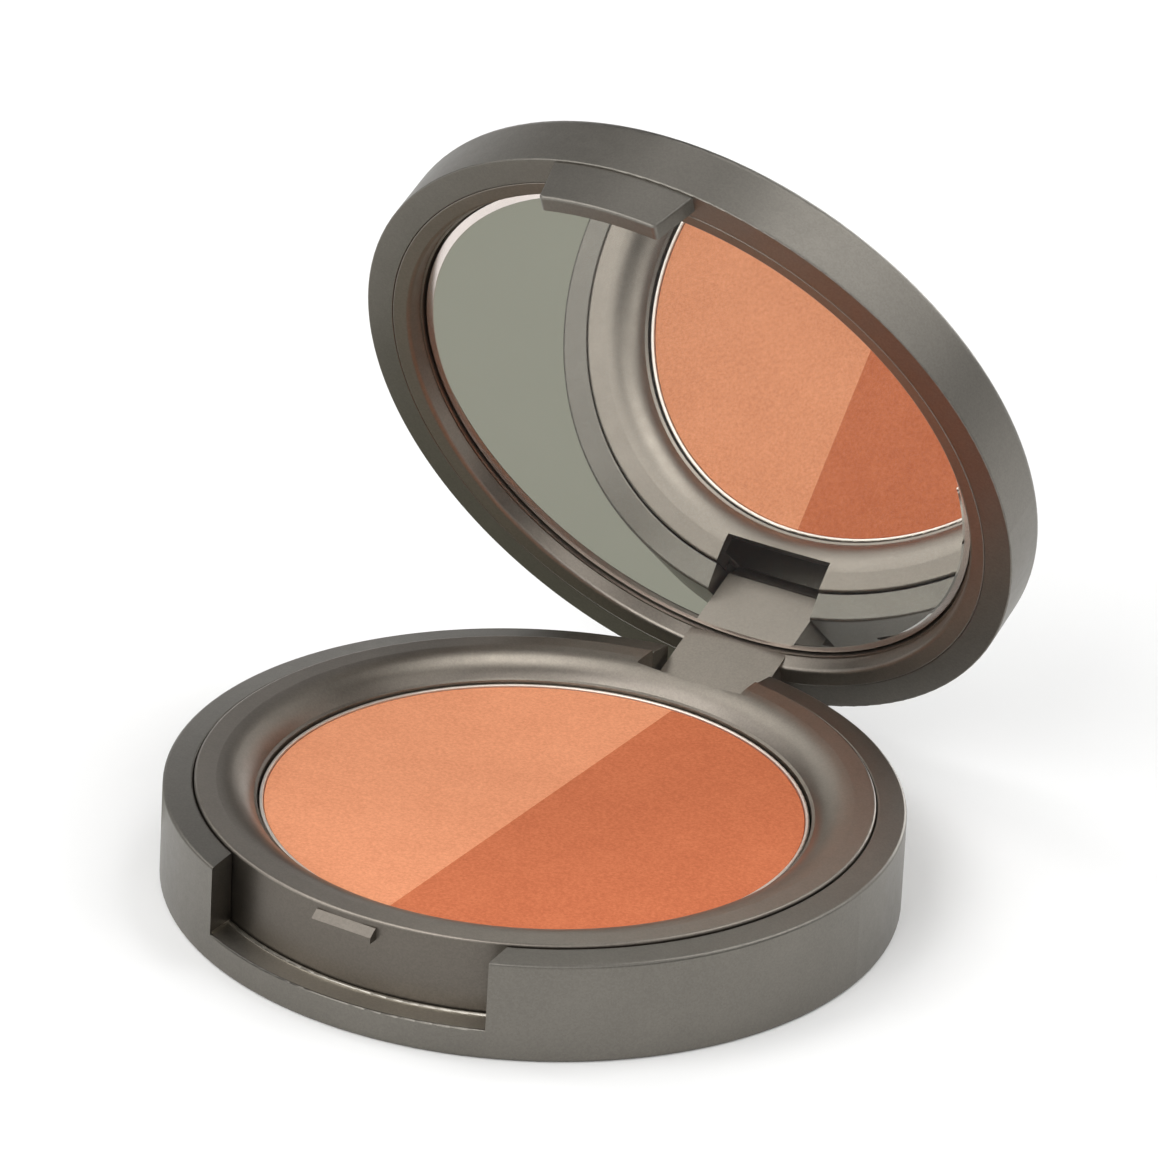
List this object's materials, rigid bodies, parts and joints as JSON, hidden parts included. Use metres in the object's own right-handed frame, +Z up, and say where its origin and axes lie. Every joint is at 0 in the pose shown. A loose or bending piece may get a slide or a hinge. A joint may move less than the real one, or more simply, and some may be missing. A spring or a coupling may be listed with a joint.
{
  "type": "powder compact",
  "caption": "Round pressed-powder compact: open tray with a split two-tone powder pan and a hinged lid that carries a round mirror and a latch tab.",
  "frame": {"origin": "centre of the base's flat underside", "axes": "+Z up out of the powder, +Y towards the hinge, -Y towards the latch, +X to the right seen from the latch"},
  "size_m": [0.0722, 0.0816, 0.0728],
  "materials": {
    "casing": "satin metallic taupe lacquer",
    "casing_inner": "satin metallic taupe lacquer",
    "pan_metal": "bright drawn rim",
    "powder_light": "pressed powder, peach",
    "powder_dark": "pressed powder, terracotta",
    "adhesive": "hot-melt and foam tape",
    "pin_steel": "plain wire",
    "mirror_glass": "silvered, narrow bevel"
  },
  "bodies": {
    "base": {"base_shell": "casing", "base_tray": "casing_inner", "powder_pan": "pan_metal", "powder_light": "powder_light", "powder_dark": "powder_dark", "pan_adhesive": "adhesive", "hinge_pin": "pin_steel"},
    "lid": {"lid_shell": "casing", "mirror_frame": "casing_inner", "mirror": "mirror_glass", "mirror_adhesive": "adhesive"}
  },
  "joints": [
    {"name": "lid_hinge", "type": "hinge", "parent": "base", "child": "lid", "pos_m": [0, 0.03358, 0.00471], "axis": [-1, 0, 0], "range_deg": [-65.24, 32.76]}
  ]
}
